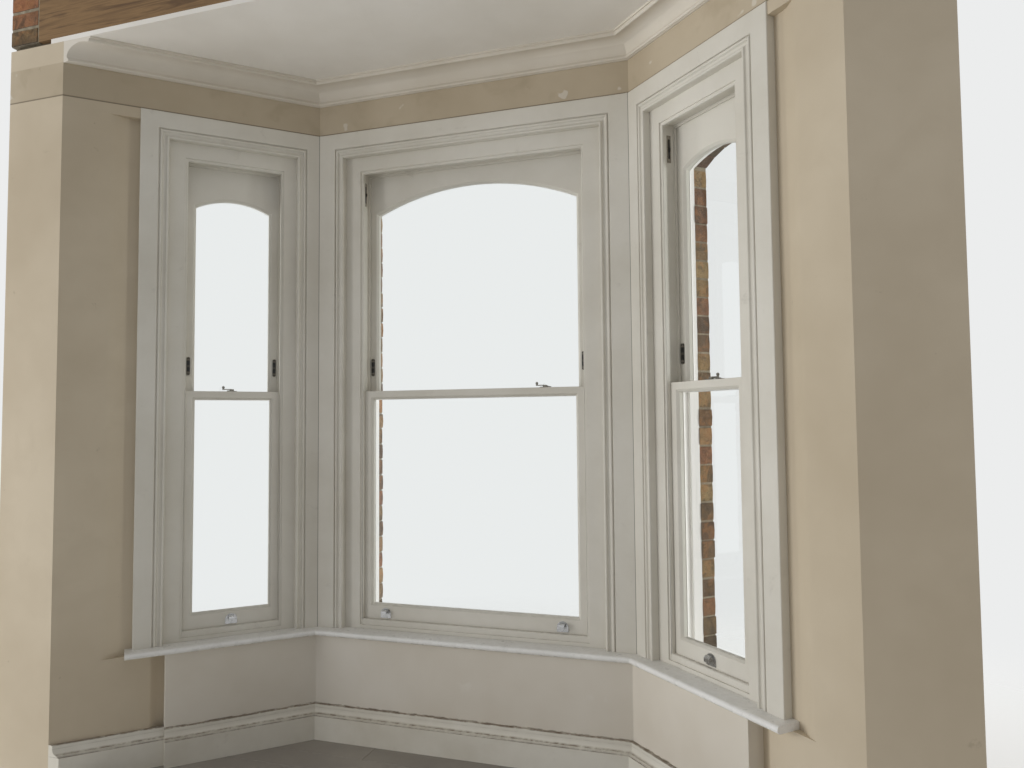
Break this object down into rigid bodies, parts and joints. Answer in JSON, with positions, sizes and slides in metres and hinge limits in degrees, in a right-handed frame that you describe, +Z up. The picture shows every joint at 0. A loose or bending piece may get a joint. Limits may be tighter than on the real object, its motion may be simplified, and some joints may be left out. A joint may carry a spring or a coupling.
{
  "type": "canted bay window of a brick house",
  "caption": "Canted bay of a brick terrace house with tall box-sash windows, arched glass, panelled joinery, plaster room side and hipped slate roof.",
  "frame": {"origin": "ground level in the middle of the bay's bounding box in plan", "axes": "+Z up; +X along the house wall, to the right seen from the room; +Y out to the street, so the room is at -Y"},
  "size_m": [3.555, 1.1724, 4.79],
  "materials": {
    "stock_brick": "weathered yellow-brown stock brick in sand lime mortar",
    "painted_stone": "stone painted white, a little dirty",
    "red_brick": "soft red brick, weathered",
    "rough_timber": "sawn softwood",
    "slate": "blue-grey natural slate",
    "lead": "dull grey sheet lead",
    "gutter_iron": "cast iron painted black",
    "plain_brick": "rough common brick",
    "floor_timber": "boards painted grey",
    "ceiling_paint": "plaster painted off-white",
    "wall_paint": "old plaster painted pale stone colour, patched",
    "skirting_paint": "softwood painted off-white, dusty on top",
    "window_paint": "joinery painted white, satin",
    "glass": "clear window glass",
    "dark_iron": "dark pulleys with paint at the edges",
    "black_steel": "black vent stops",
    "dull_metal": "dull steel sash fasteners",
    "satin_chrome": "satin chrome sash lifts"
  },
  "bodies": {
    "root": {"left_apron_wall": "stock_brick", "centre_apron_wall": "stock_brick", "right_apron_wall": "stock_brick", "sill_course": "painted_stone", "left_end_pier": "stock_brick", "left_corner_pier": "stock_brick", "right_corner_pier": "stock_brick", "right_end_pier": "stock_brick", "left_arch_head": "stock_brick", "centre_arch_head": "stock_brick", "right_arch_head": "stock_brick", "dentil_course": "red_brick", "left_wall_end": "stock_brick", "right_wall_end": "stock_brick", "opening_beam": "rough_timber", "wall_over_beam": "stock_brick", "roof_slopes": "slate", "roof_lead": "lead", "gutter": "gutter_iron", "sleeper_walls": "plain_brick", "floor_joists": "rough_timber", "floor_boards": "floor_timber", "ceiling": "ceiling_paint", "apron_lining": "wall_paint", "wall_plaster": "wall_paint", "skirting": "skirting_paint", "cornice": "ceiling_paint", "window_board": "window_paint", "left_frame": "window_paint", "centre_frame": "window_paint", "right_frame": "window_paint", "left_architrave": "window_paint", "centre_architrave": "window_paint", "right_architrave": "window_paint", "left_upper_sash": "window_paint", "centre_upper_sash": "window_paint", "right_upper_sash": "window_paint", "left_lower_sash": "window_paint", "centre_lower_sash": "window_paint", "right_lower_sash": "window_paint", "panes": "glass", "sash_pulleys": "dark_iron", "sash_stops": "black_steel", "sash_fasteners": "dull_metal", "sash_lifts": "satin_chrome"}
  },
  "joints": []
}
